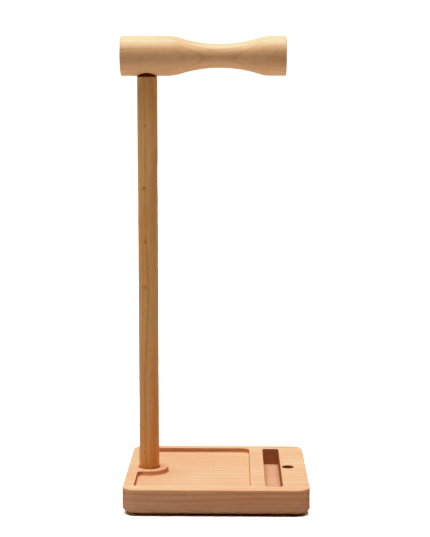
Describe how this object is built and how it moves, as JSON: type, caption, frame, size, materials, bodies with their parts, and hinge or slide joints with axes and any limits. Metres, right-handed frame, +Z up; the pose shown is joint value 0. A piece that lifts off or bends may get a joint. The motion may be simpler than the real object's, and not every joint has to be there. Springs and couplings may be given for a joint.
{
  "type": "headphone stand",
  "caption": "Wooden headphone stand: a turned spool rest on a round post, on a rectangular base with a shallow tray, a phone slot and a small plug hole.",
  "frame": {"origin": "centre of the stand's box, on the surface that it stands on", "axes": "+X along the rest, from the post's end towards the free end; +Y from front to back; +Z up"},
  "size_m": [0.1098, 0.1, 0.2724],
  "materials": {
    "base_beech": "smooth sanded beech with a thin matt oil",
    "post_beech": "smooth sanded beech dowel",
    "rest_beech": "turned and sanded beech",
    "zinc_steel": "zinc-plated steel",
    "brass": "plain turned brass",
    "pad_rubber": "matt black rubber"
  },
  "bodies": {
    "root": {"tray_base": "base_beech", "post": "post_beech", "headphone_rest": "rest_beech", "base_screw": "zinc_steel", "base_washer": "zinc_steel", "post_insert": "brass", "rest_insert": "brass", "rest_stud": "zinc_steel", "foot_pad_front_left": "pad_rubber", "foot_pad_back_left": "pad_rubber", "foot_pad_front_right": "pad_rubber", "foot_pad_back_right": "pad_rubber"}
  },
  "joints": []
}
